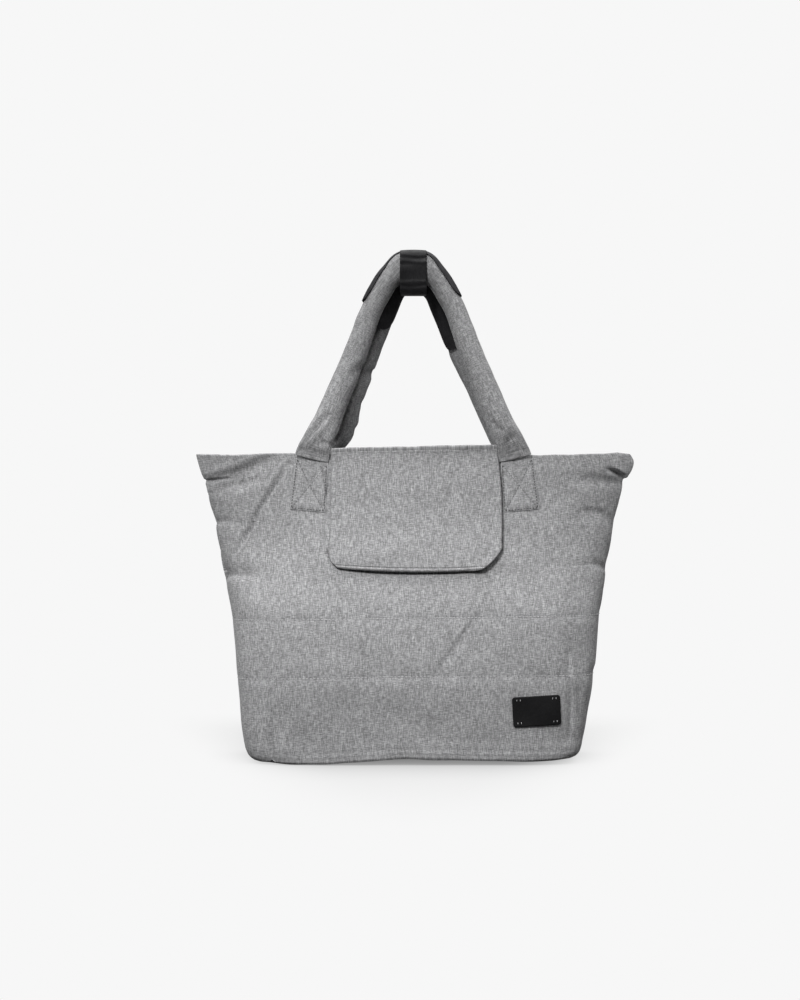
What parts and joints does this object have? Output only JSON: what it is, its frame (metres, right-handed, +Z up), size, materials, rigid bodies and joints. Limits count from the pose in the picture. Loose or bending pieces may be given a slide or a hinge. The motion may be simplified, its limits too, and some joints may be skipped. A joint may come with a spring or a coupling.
{
  "type": "tote bag",
  "caption": "Soft padded tote bag of heathered grey cloth with wing-shaped top corners, a closure flap over the mouth, tube handles held by a leather cuff, and a bare leather label.",
  "frame": {"origin": "middle of the base, on the surface that the bag stands on", "axes": "+Z up, +X to the right as seen from the front, the front with the flap and the label faces -Y"},
  "size_m": [0.4766, 0.1539, 0.552],
  "materials": {
    "grey_cloth": "heathered plain weave over padding",
    "black_leather": "fine grain, half matt"
  },
  "bodies": {
    "root": {"front_panel": "grey_cloth", "back_panel": "grey_cloth", "base_panel": "grey_cloth", "closure_flap": "grey_cloth", "front_handle": "grey_cloth", "back_handle": "grey_cloth", "front_left_tab": "grey_cloth", "front_right_tab": "grey_cloth", "back_left_tab": "grey_cloth", "back_right_tab": "grey_cloth", "front_grip_patch": "black_leather", "back_grip_patch": "black_leather", "grip_cuff": "black_leather", "leather_label": "black_leather"}
  },
  "joints": []
}
